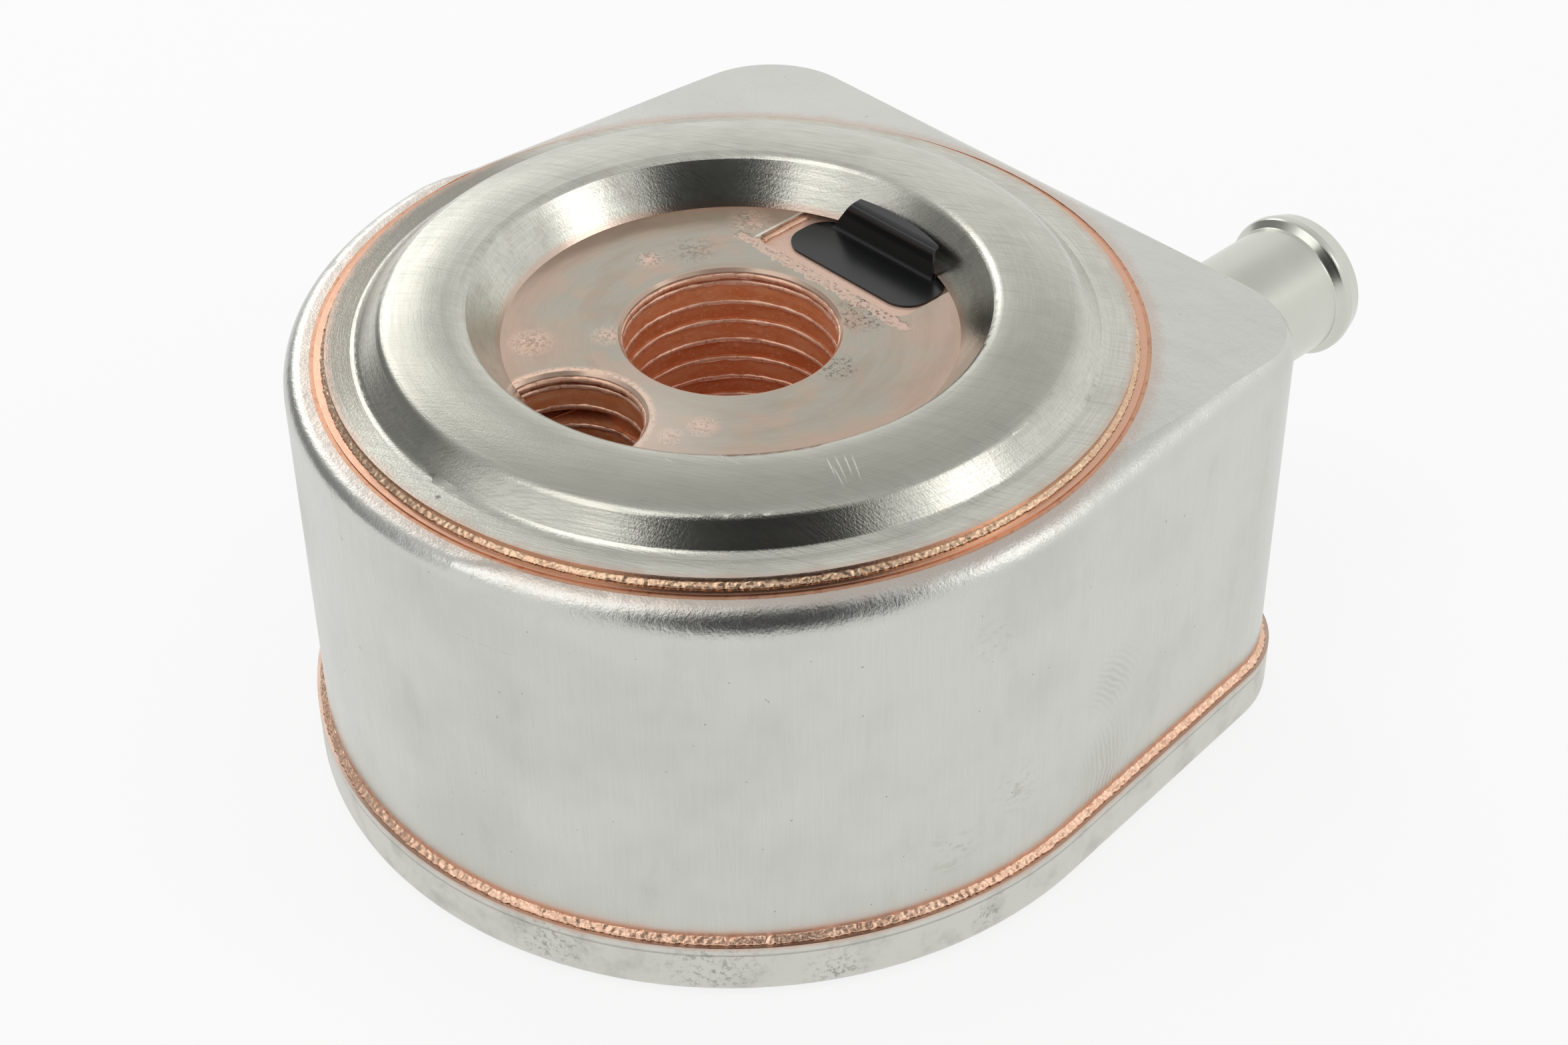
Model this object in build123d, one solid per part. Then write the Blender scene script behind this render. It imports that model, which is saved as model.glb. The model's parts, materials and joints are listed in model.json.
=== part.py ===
"""Brazed plate-stack oil cooler that sits between an engine block and a spin-on oil filter.

Frame: the origin is the centre of the bore in the engine face, +Z runs up the bore towards the
filter and +Y points to the flat back that carries the coolant stubs. All sizes are in millimetres.

Oil enters through the pan at the inlet port, rises past the oil cells, crosses them to the outlet
port, leaves into the recess under the filter and returns down the centre bore. Coolant flows round
the cells inside the can, from one stub to the other. A spring leaf covers a bypass slot.
"""

import os
from math import cos, radians, sin

from build123d import *

# Plan of the can: a round side towards -Y, two rounded corners and a flat back at +Y
CAN_RADIUS = 49.9
CORNER_RADIUS = 12.4
CORNER_INSET = 3.5
BACK_REACH = 0.8

# Sheets
CAN_SHEET = 0.9
PAN_SHEET = 1.1
RECESS_SHEET = 1.0
SEAT_SHEET = 1.1
PLATE_SHEET = 0.4
FIN_SHEET = 0.2
FLAP_SHEET = 0.3

# Oil passages: the web is the metal between the bore and a port
BORE_RADIUS = 12.3
PORT_RADIUS = 8.5
PORT_WEB = 3.2
EDGE_BREAK = 0.35

# Plate stack: oil cells with a coolant gap under, between and over them, all of one height
CELL_COUNT = 9
BAND_HEIGHT = 2.65
COOLANT_MARGIN = 2.4
COLLAR_WALL = 0.9
RING_WALL = 3.0
RING_RELIEF = 0.12
FIN_PERIOD = 13.6
FIN_CLEARANCE = 0.8

# Shoulder and top of the can, with a tighter ridge along part of its round side
LAND_MARGIN = 3.0
SHOULDER_RISE = 0.95
SHOULDER_RADIUS = 4.2
CROWN_FALL = 0.09
RIDGE_RADIUS = 2.0
RIDGE_START = 186.0
RIDGE_END = 282.0
RIDGE_BLEND = 9.0
RIDGE_WIDTH = 6.0
RIDGE_DEPTH = 9.0

# Pan round the foot of the can
PAN_RIM_Z = 7.4
PAN_EDGE_RADIUS = 2.0
SEAL_MARGIN = 6.0
SEAL_WIDTH = 3.6
SEAL_DEPTH = 2.2
SEAL_EDGE = 0.4

# Recess plate and the window in it
LAND_GAP = 0.5
WINDOW_WIDTH = 23.7
WINDOW_MARGIN = 2.4
WINDOW_TUCK = 4.75
WINDOW_CORNER = 1.6

# Filter seat ring: widths from its edge inwards, and heights above the recess plate
SEAT_MARGIN = 1.8
SEAT_BAND = 3.4
SEAT_SLOPE = 2.8
SEAT_CREST = 9.2
SEAT_DISH = 3.95
SEAT_SHOULDER_HEIGHT = 4.2
SEAT_CREST_HEIGHT = 5.3
SEAT_INNER_HEIGHT = 5.0
SEAT_FOOT_FILLET = 1.3
SEAT_OUTER_FILLET = 1.9
SEAT_CROWN_FILLET = 16.0
SEAT_INNER_FILLET = 1.5

# Bypass flap: the blade's ears reach past the fold on both sides of the tab
FLAP_LEFT = -10.2
FLAP_RIGHT = 10.8
FLAP_DEPTH = 7.0
FLAP_SETBACK = 1.45
FLAP_EAR = 0.8
FLAP_CORNER = 3.25
FLAP_BEND = 0.7
TAB_LEFT = -8.2
TAB_RIGHT = 8.2
TAB_SLANT = 3.0
TAB_HEIGHT = 4.25
TAB_TUCK = 0.5
BYPASS_LENGTH = 13.0
BYPASS_WIDTH = 5.2

# Coolant stubs on the flat back
STUB_SETBACK = 23.0
STUB_DROP = 13.0
STUB_LOWER_Z = 18.0
STUB_RADIUS = 8.0
STUB_WALL = 1.0
STUB_LENGTH = 20.3
STUB_INSERT = 1.0
BEAD_RADIUS = 8.95
BEAD_WIDTH = 4.4
BEAD_RISE = 0.9
BEAD_LAND = 0.9
BEAD_FILLET = 0.6
NOSE_RADIUS = 8.3
NOSE_ROUND = 0.5
NOSE_FILLET = 0.4

# Copper braze
SEAT_FILLET = 1.0
RIM_FILLET = 1.0
STUB_FILLET = 0.9

# How far cutters pass beyond what they cut
OVERCUT = 1.0

# Plan sizes that follow
corner_x = CAN_RADIUS - CORNER_INSET - CORNER_RADIUS
corner_y = CAN_RADIUS + BACK_REACH - CORNER_RADIUS
back_y = CAN_RADIUS + BACK_REACH
plate_offset = -(CAN_SHEET + COOLANT_MARGIN)
port_pitch = BORE_RADIUS + PORT_WEB + PORT_RADIUS
ports = [(0, port_pitch), (0, -port_pitch)]
seal_radius = port_pitch + PORT_RADIUS + SEAL_MARGIN
land_radius = CAN_RADIUS - LAND_MARGIN
seat_radius = land_radius - SEAT_MARGIN
seat_foot = seat_radius - SEAT_BAND
crest_outer = seat_foot - SEAT_SLOPE
crest_inner = crest_outer - SEAT_CREST
throat_radius = crest_inner - SEAT_DISH
flap_fold_y = throat_radius - FLAP_SETBACK
flap_near_y = flap_fold_y - FLAP_DEPTH
tab_reach = throat_radius + TAB_TUCK
window_near_y = flap_near_y - WINDOW_MARGIN
window_far_y = throat_radius + WINDOW_TUCK
stub_x = CAN_RADIUS - STUB_SETBACK

# Heights that follow from the stack
stack_bottom = PAN_SHEET
stack_top = stack_bottom + (2 * CELL_COUNT + 1) * BAND_HEIGHT
land_z = stack_top + CAN_SHEET
floor_z = land_z + RECESS_SHEET
can_top_z = land_z + SHOULDER_RISE
stub_upper_z = can_top_z - STUB_DROP


def d_outline(offset_out=0.0):
    """D-shaped outline of the can's outer wall, moved outwards by offset_out."""
    circles = [Edge.make_circle(CAN_RADIUS + offset_out)]
    for side in (-1, 1):
        centre = Pos(side * corner_x, corner_y)
        circles.append(centre * Edge.make_circle(CORNER_RADIUS + offset_out))
    return make_hull(circles)


def d_block(offset_out, bottom, height):
    """Prism on the D-shaped outline."""
    return extrude(Pos(0, 0, bottom) * d_outline(offset_out), height)


def post(radius, bottom, height, centre=(0, 0)):
    """Upright round post standing on a given height."""
    at = Pos(centre[0], centre[1], bottom)
    return at * Cylinder(radius, height, align=(Align.CENTER, Align.CENTER, Align.MIN))


def tube(inner, outer, bottom, height, centre=(0, 0)):
    """Upright round tube."""
    return post(outer, bottom, height, centre) - post(inner, bottom, height, centre)


def top_edges(shape):
    """Edges that lie in the highest plane of a shape."""
    return shape.edges().group_by(Axis.Z)[-1]


def rounded_block(offset_out, bottom, height, radius):
    """D-shaped prism with its top edge rolled over."""
    block = d_block(offset_out, bottom, height)
    return fillet(top_edges(block), radius)


def crown(top):
    """Body below a given height, flat over the land and falling gently outside it."""
    reach = 2 * CAN_RADIUS
    fall = (reach - land_radius) * CROWN_FALL
    profile = Polyline((0, 0), (reach, 0), (reach, top - fall), (land_radius, top), (0, top), close=True)
    return revolve(Plane.XZ * make_face(profile), Axis.Z)


def wall_section(angle, shoulder):
    """Upright section through the wall and shoulder of the can's round side."""
    inner = CAN_RADIUS - RIDGE_WIDTH
    foot = can_top_z - RIDGE_DEPTH
    start_roll = CAN_RADIUS - shoulder
    roll_z = can_top_z - shoulder
    fall = CROWN_FALL * max(start_roll - land_radius, 0)
    middle = (start_roll + shoulder * cos(radians(45)), roll_z + shoulder * sin(radians(45)) - fall / 2)
    outline = [
        Line((inner, foot), (CAN_RADIUS, foot)),
        Line((CAN_RADIUS, foot), (CAN_RADIUS, roll_z)),
        ThreePointArc((CAN_RADIUS, roll_z), middle, (start_roll, can_top_z - fall)),
        Line((start_roll, can_top_z - fall), (inner, can_top_z - fall)),
        Line((inner, can_top_z - fall), (inner, foot)),
    ]
    face = Plane.XZ * make_face(outline)
    return Rot(0, 0, angle) * face


def shoulder_at(turn):
    """Shoulder radius over the blend, from 0 at the tight ridge to 1 at the full roll."""
    ease = turn * turn * (3 - 2 * turn)
    return RIDGE_RADIUS + (SHOULDER_RADIUS - RIDGE_RADIUS) * ease


def ridge_blend(start, direction):
    """Stretch of wall where the tight ridge swells into the full roll."""
    steps = 3
    sections = []
    for step in range(steps + 1):
        turn = step / steps
        sections.append(wall_section(start + direction * RIDGE_BLEND * turn, shoulder_at(turn)))
    return loft(sections, ruled=True)


def ridge_sector():
    """Wedge that holds the ridge and both its blends, seen from above."""
    first = RIDGE_START - RIDGE_BLEND
    last = RIDGE_END + RIDGE_BLEND
    reach = 2 * CAN_RADIUS
    middle = (first + last) / 2
    corners = [(0, 0)]
    for angle in (first, middle, last):
        corners.append((reach * cos(radians(angle)), reach * sin(radians(angle))))
    foot = can_top_z - RIDGE_DEPTH
    height = RIDGE_DEPTH + OVERCUT
    wedge = extrude(Pos(0, 0, foot) * make_face(Polyline(*corners, close=True)), height)
    return wedge - post(CAN_RADIUS - RIDGE_WIDTH, foot, height)


def can_body():
    """Solid outside of the can, with the tight ridge let into its round side."""
    body = rounded_block(0, 0, can_top_z, SHOULDER_RADIUS) & crown(can_top_z)
    ridge = revolve(wall_section(RIDGE_START, RIDGE_RADIUS), Axis.Z, RIDGE_END - RIDGE_START)
    wall = ridge + ridge_blend(RIDGE_START, -1) + ridge_blend(RIDGE_END, 1)
    return (body - ridge_sector()) + wall


def can_cavity():
    """Room inside the can, following the land and the raised shoulder."""
    inner_top = can_top_z - CAN_SHEET
    room = rounded_block(-CAN_SHEET, 0, inner_top, SHOULDER_RADIUS - CAN_SHEET) & crown(inner_top)
    return room - post(land_radius + CAN_SHEET, stack_top, CAN_SHEET + SHOULDER_RISE)


def oil_holes(bottom, height, centres=ports):
    """Cutters for the bore and the listed ports through a layer."""
    start = bottom - OVERCUT
    through = height + 2 * OVERCUT
    cutters = post(BORE_RADIUS, start, through)
    for centre in centres:
        cutters = cutters + post(PORT_RADIUS, start, through, centre)
    return cutters


def bypass_slot(bottom, height):
    """Cutter for the slot under the flap."""
    centre_x = (FLAP_LEFT + FLAP_RIGHT) / 2
    centre_y = (flap_near_y + flap_fold_y) / 2
    slot = Pos(centre_x, centre_y, bottom - OVERCUT) * SlotOverall(BYPASS_LENGTH, BYPASS_WIDTH)
    return extrude(slot, height + 2 * OVERCUT)


def stub_axis(side, height):
    """Place of a coolant stub: on the flat back, pointing along +Y."""
    return Pos(side * stub_x, back_y, height) * Rot(-90, 0, 0)


def canister():
    """Drawn can with its land, oil openings and the two stub holes."""
    can = can_body() - can_cavity()
    can = can - d_block(PAN_SHEET, 0, PAN_SHEET)
    can = can - post(land_radius, land_z, SHOULDER_RISE + OVERCUT)
    can = can - oil_holes(stack_top, CAN_SHEET, centres=ports[1:])
    can = can - bypass_slot(stack_top, CAN_SHEET)
    for side, height in stub_places():
        can = can - stub_axis(side, height) * Cylinder(STUB_RADIUS, 4 * CAN_SHEET)
    return can


def stub_places():
    """Side and height of each stub: the upper one at +X and the lower one at -X."""
    return [(1, stub_upper_z), (-1, STUB_LOWER_Z)]


def base_pan():
    """Pressed tray outside the can's foot, with its seal groove pressed up from below."""
    pan = d_block(PAN_SHEET, 0, PAN_RIM_Z)
    pan = fillet(pan.edges().group_by(Axis.Z)[0], PAN_EDGE_RADIUS)
    pan = pan - d_block(0, PAN_SHEET, PAN_RIM_Z)
    groove = (seal_radius - SEAL_WIDTH / 2, seal_radius + SEAL_WIDTH / 2)
    pan = pan + tube(groove[0] - PAN_SHEET, groove[1] + PAN_SHEET, 0, SEAL_DEPTH + PAN_SHEET)
    pan = pan - tube(groove[0], groove[1], 0, SEAL_DEPTH)
    return pan - oil_holes(0, PAN_SHEET, centres=ports[:1])


def base_seal():
    """Seal ring that fills the pan's groove, drawn as it lies when clamped."""
    ring = tube(seal_radius - SEAL_WIDTH / 2, seal_radius + SEAL_WIDTH / 2, 0, SEAL_DEPTH)
    return chamfer(top_edges(ring), SEAL_EDGE)


def seat_profile():
    """Half section of the seat ring: flat band, outer slope, crowned bead and dished throat."""
    top = SEAT_SHEET
    slope = (crest_inner - throat_radius) / SEAT_INNER_HEIGHT
    foot = (throat_radius - slope * SEAT_SHEET, -SEAT_SHEET)
    crest_middle = (crest_outer + crest_inner) / 2
    points = [
        foot,
        (crest_inner, SEAT_INNER_HEIGHT),
        (crest_middle, SEAT_CREST_HEIGHT),
        (crest_outer, SEAT_SHOULDER_HEIGHT),
        (seat_foot, top),
        (seat_radius, top),
    ]
    radii = [SEAT_INNER_FILLET, SEAT_CROWN_FILLET, SEAT_OUTER_FILLET, SEAT_FOOT_FILLET]
    path = FilletPolyline(*points, radius=radii)
    band = offset(path, SEAT_SHEET, side=Side.RIGHT)
    sheet = make_face(band.edges())
    above_floor = Rectangle(seat_radius, 2 * SEAT_CREST_HEIGHT, align=Align.MIN)
    return sheet & above_floor


def filter_seat_ring():
    """Pressed ring whose bead takes the filter's gasket."""
    return Pos(0, 0, floor_z) * revolve(Plane.XZ * seat_profile(), Axis.Z)


def recess_plate():
    """Plate on the can's land, with the bore, the outlet port and the window for the flap."""
    plate = post(land_radius - LAND_GAP, land_z, RECESS_SHEET)
    plate = plate - oil_holes(land_z, RECESS_SHEET, centres=ports[1:])
    rims = top_edges(plate).filter_by(GeomType.CIRCLE).filter_by(lambda e: e.radius < land_radius / 2)
    plate = chamfer(rims, EDGE_BREAK)
    depth = window_far_y - window_near_y
    middle = (window_far_y + window_near_y) / 2
    window = Pos(0, middle, land_z) * RectangleRounded(WINDOW_WIDTH, depth, WINDOW_CORNER)
    return plate - extrude(window, RECESS_SHEET)


def bypass_flap():
    """Spring leaf cut and bent from one sheet: blade on the land, upright tab and outward lip."""
    lip_y = tab_reach + OVERCUT
    path = FilletPolyline(
        (flap_near_y, 0), (flap_fold_y, 0), (flap_fold_y, TAB_HEIGHT), (lip_y, TAB_HEIGHT), radius=FLAP_BEND
    )
    strip = make_face(offset(path, FLAP_SHEET, side=Side.LEFT).edges())
    folded = Pos(FLAP_LEFT, 0, land_z) * extrude(Plane.YZ * strip, FLAP_RIGHT - FLAP_LEFT)
    room = flap_tab_room()
    return (flap_blade() - room) + (folded & room)


def flap_blade():
    """Flat blade with its rounded outline."""
    width = FLAP_RIGHT - FLAP_LEFT
    far_y = flap_fold_y + FLAP_EAR
    centre = Pos((FLAP_LEFT + FLAP_RIGHT) / 2, (flap_near_y + far_y) / 2, land_z)
    return extrude(centre * RectangleRounded(width, far_y - flap_near_y, FLAP_CORNER), FLAP_SHEET)


def flap_tab_room():
    """Space from the start of the fold outwards that holds the tab, which slants on the left."""
    near = flap_fold_y - FLAP_BEND
    high = TAB_HEIGHT + FLAP_SHEET
    outline = Polyline((TAB_LEFT, 0), (TAB_RIGHT, 0), (TAB_RIGHT, high), (TAB_LEFT + TAB_SLANT, high), close=True)
    front = extrude(Plane.XZ.offset(-near) * make_face(outline), -tab_reach)
    return (Pos(0, 0, land_z) * front) & post(tab_reach, land_z, high)


def seat_braze():
    """Copper fillet between the seat ring's edge and the recess plate."""
    profile = Polyline(
        (seat_radius, floor_z),
        (seat_radius + SEAT_FILLET, floor_z),
        (seat_radius, floor_z + SEAT_FILLET * 0.9),
        close=True,
    )
    return revolve(Plane.XZ * make_face(profile), Axis.Z)


def land_braze():
    """Copper that fills the joint between the recess plate and the can's land."""
    return tube(land_radius - LAND_GAP, land_radius, land_z, RECESS_SHEET * 0.85)


def rim_braze():
    """Copper fillet on the pan's rim, leaning on the can's wall."""
    ring = d_block(RIM_FILLET, PAN_RIM_Z, RIM_FILLET)
    ring = chamfer(top_edges(ring), 0.8 * RIM_FILLET)
    return ring - d_block(0, PAN_RIM_Z, RIM_FILLET)


def coolant_stub():
    """Beaded tube, drawn along +Z from the plane of the can's back."""
    bead_start = STUB_LENGTH - BEAD_WIDTH
    outer = [
        (STUB_RADIUS, -CAN_SHEET - STUB_INSERT),
        (STUB_RADIUS, bead_start),
        (BEAD_RADIUS, bead_start + BEAD_RISE),
        (BEAD_RADIUS, bead_start + BEAD_RISE + BEAD_LAND),
        (NOSE_RADIUS, STUB_LENGTH - NOSE_ROUND),
        (STUB_RADIUS - STUB_WALL / 2, STUB_LENGTH),
    ]
    path = FilletPolyline(*outer, radius=[NOSE_FILLET, BEAD_FILLET, BEAD_FILLET, NOSE_FILLET])
    bore = STUB_RADIUS - STUB_WALL
    closing = Polyline(outer[-1], (bore, STUB_LENGTH), (bore, outer[0][1]), outer[0])
    return revolve(Plane.XZ * make_face(path.edges() + closing.edges()), Axis.Z)


def stub_braze():
    """Copper fillet at a stub's root, drawn along +Z."""
    profile = Polyline((STUB_RADIUS, 0), (STUB_RADIUS + STUB_FILLET, 0), (STUB_RADIUS, STUB_FILLET), close=True)
    return revolve(Plane.XZ * make_face(profile), Axis.Z)


def cell_tray(bottom):
    """Lower plate of a cell, with a rim that its lid sits in."""
    tray = d_block(plate_offset, bottom, BAND_HEIGHT)
    tray = tray - d_block(plate_offset - PLATE_SHEET, bottom + PLATE_SHEET, BAND_HEIGHT)
    return tray - oil_holes(bottom, PLATE_SHEET)


def cell_lid(bottom):
    """Upper plate of a cell, with collars drawn up to the plate above."""
    lid_bottom = bottom + BAND_HEIGHT - PLATE_SHEET
    lid = d_block(plate_offset - PLATE_SHEET, lid_bottom, PLATE_SHEET)
    height = PLATE_SHEET + BAND_HEIGHT
    lid = lid + post(BORE_RADIUS + COLLAR_WALL, lid_bottom, height)
    for centre in ports:
        lid = lid + post(PORT_RADIUS + COLLAR_WALL, lid_bottom, height, centre)
    return lid - oil_holes(lid_bottom, height)


def cell_ring(bottom):
    """Distance ring that keeps the oil of a cell out of the bore."""
    inner = BORE_RADIUS + RING_RELIEF
    return tube(inner, BORE_RADIUS + RING_WALL, bottom + PLATE_SHEET, BAND_HEIGHT - 2 * PLATE_SHEET)


def fin_wave(height):
    """Section of a corrugated strip that just spans a cell, drawn across X."""
    reach = CAN_RADIUS + plate_offset
    half = FIN_PERIOD / 2
    count = int(reach / half)
    rise = height - FIN_SHEET
    points = []
    for step in range(-count, count + 1):
        low, high = (0, rise) if step % 2 else (rise, 0)
        points.append((step * half - half / 4, low))
        points.append((step * half + half / 4, high))
    return points[1:-1]


def fin_room():
    """Outline of the turbulator: straight cuts inside the cell's rim and round the ring and the ports."""
    margin = PLATE_SHEET + FIN_CLEARANCE
    corner = (CORNER_RADIUS + plate_offset - margin) * cos(radians(45))
    back = Pos(0, (corner_y + corner) / 2) * Rectangle(2 * (corner_x + corner), corner_y + corner)
    room = back + RegularPolygon(CAN_RADIUS + plate_offset - margin, 12)
    room = room - RegularPolygon(BORE_RADIUS + RING_WALL + FIN_CLEARANCE, 8, major_radius=False)
    for centre in ports:
        room = room - Pos(*centre) * RegularPolygon(PORT_RADIUS + FIN_CLEARANCE, 8, major_radius=False)
    return room


def cell_turbulator(bottom):
    """Corrugated strip between tray and lid, trimmed to its outline."""
    height = BAND_HEIGHT - 2 * PLATE_SHEET
    points = fin_wave(height)
    upper = [(x, z + FIN_SHEET) for x, z in reversed(points)]
    strip = make_face(Polyline(*points, *upper, close=True))
    sheet = extrude(Plane.XZ.offset(-back_y) * strip, back_y + CAN_RADIUS)
    room = extrude(fin_room(), BAND_HEIGHT)
    return Pos(0, 0, bottom + PLATE_SHEET) * (sheet & room)


def base_spacers():
    """Distance rings between the pan and the lowest cell, one for each column of openings."""
    spacers = {"base_spacer_centre": tube(BORE_RADIUS, BORE_RADIUS + COLLAR_WALL, stack_bottom, BAND_HEIGHT)}
    for name, centre in (("inlet", ports[0]), ("outlet", ports[1])):
        ring = tube(PORT_RADIUS, PORT_RADIUS + COLLAR_WALL, stack_bottom, BAND_HEIGHT, centre)
        spacers[f"base_spacer_{name}"] = ring
    return spacers


def oil_cells():
    """All pieces of all cells, from the engine side up."""
    pieces = {}
    for number in range(1, CELL_COUNT + 1):
        bottom = stack_bottom + (2 * number - 1) * BAND_HEIGHT
        pieces[f"cell_{number}_tray"] = cell_tray(bottom)
        pieces[f"cell_{number}_lid"] = cell_lid(bottom)
        pieces[f"cell_{number}_ring"] = cell_ring(bottom)
        pieces[f"cell_{number}_turbulator"] = cell_turbulator(bottom)
    return pieces


def stubs():
    """The two coolant stubs with their braze fillets."""
    pieces = {}
    for name, (side, height) in zip(("upper", "lower"), stub_places()):
        place = stub_axis(side, height)
        pieces[f"coolant_stub_{name}"] = place * coolant_stub()
        pieces[f"stub_braze_{name}"] = place * stub_braze()
    return pieces


def oil_cooler():
    """Every piece of the cooler by name."""
    return {
        "canister": canister(),
        "base_pan": base_pan(),
        "base_seal": base_seal(),
        "filter_seat_ring": filter_seat_ring(),
        "recess_plate": recess_plate(),
        "bypass_flap": bypass_flap(),
        "seat_braze": seat_braze(),
        "land_braze": land_braze(),
        "rim_braze": rim_braze(),
        **stubs(),
        **base_spacers(),
        **oil_cells(),
    }


os.makedirs("parts", exist_ok=True)
for name, shape in oil_cooler().items():
    shape.label = name
    export_step(shape, f"parts/{name}.step")
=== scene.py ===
import json
import math

import bpy
from mathutils import Matrix, Vector

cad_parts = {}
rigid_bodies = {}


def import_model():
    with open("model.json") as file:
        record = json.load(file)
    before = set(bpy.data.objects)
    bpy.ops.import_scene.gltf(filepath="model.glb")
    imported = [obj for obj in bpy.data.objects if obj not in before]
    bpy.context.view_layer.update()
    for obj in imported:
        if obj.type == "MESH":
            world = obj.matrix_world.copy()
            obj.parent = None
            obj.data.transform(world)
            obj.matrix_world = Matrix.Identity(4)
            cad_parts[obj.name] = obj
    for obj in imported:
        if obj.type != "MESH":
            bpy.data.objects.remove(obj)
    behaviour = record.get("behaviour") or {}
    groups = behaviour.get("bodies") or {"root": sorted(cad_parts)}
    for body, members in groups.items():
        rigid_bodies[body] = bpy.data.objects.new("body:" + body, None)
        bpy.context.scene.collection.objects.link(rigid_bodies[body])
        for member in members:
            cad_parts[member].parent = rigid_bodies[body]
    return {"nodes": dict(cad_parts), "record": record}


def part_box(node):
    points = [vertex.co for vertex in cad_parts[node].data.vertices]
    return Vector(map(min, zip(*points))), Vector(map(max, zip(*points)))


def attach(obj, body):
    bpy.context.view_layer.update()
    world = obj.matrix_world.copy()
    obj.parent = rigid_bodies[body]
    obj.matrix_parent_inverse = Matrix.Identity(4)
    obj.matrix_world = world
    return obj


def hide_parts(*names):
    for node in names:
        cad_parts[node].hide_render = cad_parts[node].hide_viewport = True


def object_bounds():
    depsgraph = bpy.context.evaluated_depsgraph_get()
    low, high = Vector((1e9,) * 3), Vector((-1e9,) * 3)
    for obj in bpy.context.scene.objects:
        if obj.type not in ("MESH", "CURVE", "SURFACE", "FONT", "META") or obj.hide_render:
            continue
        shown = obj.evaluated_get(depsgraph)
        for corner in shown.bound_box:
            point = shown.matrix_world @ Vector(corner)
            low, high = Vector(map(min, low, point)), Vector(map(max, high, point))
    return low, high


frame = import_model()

MM = 0.001
cad_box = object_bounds()
nodes_of_part = frame["nodes"]

# Sizes of the part in millimetres: heights above the engine's face, and holes as x, y and radius

PAN_SHEET = 1.1
BAND = 2.65                 # one oil or coolant layer of the stack
STACK_TOP = 51.45
LAND_Z = 52.35              # the can's round land, which the recess plate lies on
LAND_EDGE = (47.0, 46.8)    # radii between which the land's colour sets in
PLATE_Z = 53.3              # upper face of the recess plate
BORE = (0, 0, 12.3)
OUTLET = (0, -24, 8.5)
INLET = (0, 24, 8.5)
WINDOW_HALF = 11.85
WINDOW_NEAR = 14.9
WINDOW_FAR = 30.5
WINDOW_CORNER = 1.6

# Camera: focal length in millimetres on a sensor 36 wide, place in metres, and its own axes

LENS = 66.1403
CAMERA_PLACE = (0.1978370, -0.1783507, 0.2364620)
CAMERA_RIGHT = (0.6910240, 0.7227633, -0.0099477)
CAMERA_UP = (-0.4431929, 0.4345221, 0.7840731)
CAMERA_BACK = (0.5710218, -0.5374046, 0.6205888)

# Light: strength of the white backdrop as the lens, matt surfaces and metal see it, and the lamps as
# name, azimuth and elevation in degrees, distance and width in metres, and watts

BACKDROP = 1.0
FILL = 0.75
MIRRORED = 0.95
LAMP_AIM = (0, 0, 0.03)
LAMPS = [
    ("back_left", 166, 31, 0.8, 0.32, 0.62),
    ("back_right", 33, 37, 0.8, 0.26, 0.34),
    ("key", -100, 60, 0.9, 0.50, 0.9),
]

# Marks that the photo shows, in millimetres: round ones as x, y, z and size, and scratches as the
# two ends in the plan

CAN_STAINS = [(-23, -44, 40, 10), (-38, -32, 44, 9)]
CAN_SMUDGES = [(48.9, -9, 43.2, 4), (49.6, -4.7, 19.8, 5), (47.5, -13, 15, 5)]
CAN_RIPPLES = [(49.5, 11.5, 25, 6), (49.5, 11, 14, 7)]
RIPPLE_CENTRE = (49.9, -1.0, 13.0)
RIPPLE_PITCH = 0.78
PAN_STAINS = [
    (19.9, -46.9, 4.5, 7),
    (35.4, -36.7, 4.2, 8),
    (43.7, -26.3, 2.7, 5),
    (50.2, -8.9, 4.2, 3.5),
]
SEAT_PITS = [(2.3, -43.3, 54.6, 0.5), (-19.4, 21.6, 58.0, 0.5)]
SEAT_SCRATCHES = [
    ((20.0, -21.2), (24.6, -20.7)),
    ((17.6, -25.6), (19.1, -25.4)),
    ((-0.4, -36.6), (2.7, -35.0)),
    ((29.1, -13.6), (32.6, -15.4)),
    ((29.3, -12.7), (33.9, -15.0)),
    ((29.9, -11.9), (33.6, -14.0)),
    ((30.4, -11.3), (34.7, -13.8)),
    ((30.4, -14.1), (34.1, -15.6)),
    ((-25.5, 24.0), (-20.5, 30.0)),
]
PLATE_FLAKES = [
    (11.4, -14.6, PLATE_Z, 2.4),
    (10.2, -18.2, PLATE_Z, 2.0),
    (-15.2, 17.2, PLATE_Z, 3.4),
    (-13.6, -17.4, PLATE_Z, 3.4),
    (-8.6, -10.6, PLATE_Z, 2.6),
    (-17.0, 3.0, PLATE_Z, 2.4),
]


# Node trees

def heading(azimuth, elevation):
    """Unit vector of a direction given in degrees, azimuth from +X towards +Y."""
    turn, lift = math.radians(azimuth), math.radians(elevation)
    return Vector((math.cos(lift) * math.cos(turn), math.cos(lift) * math.sin(turn), math.sin(lift)))


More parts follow.
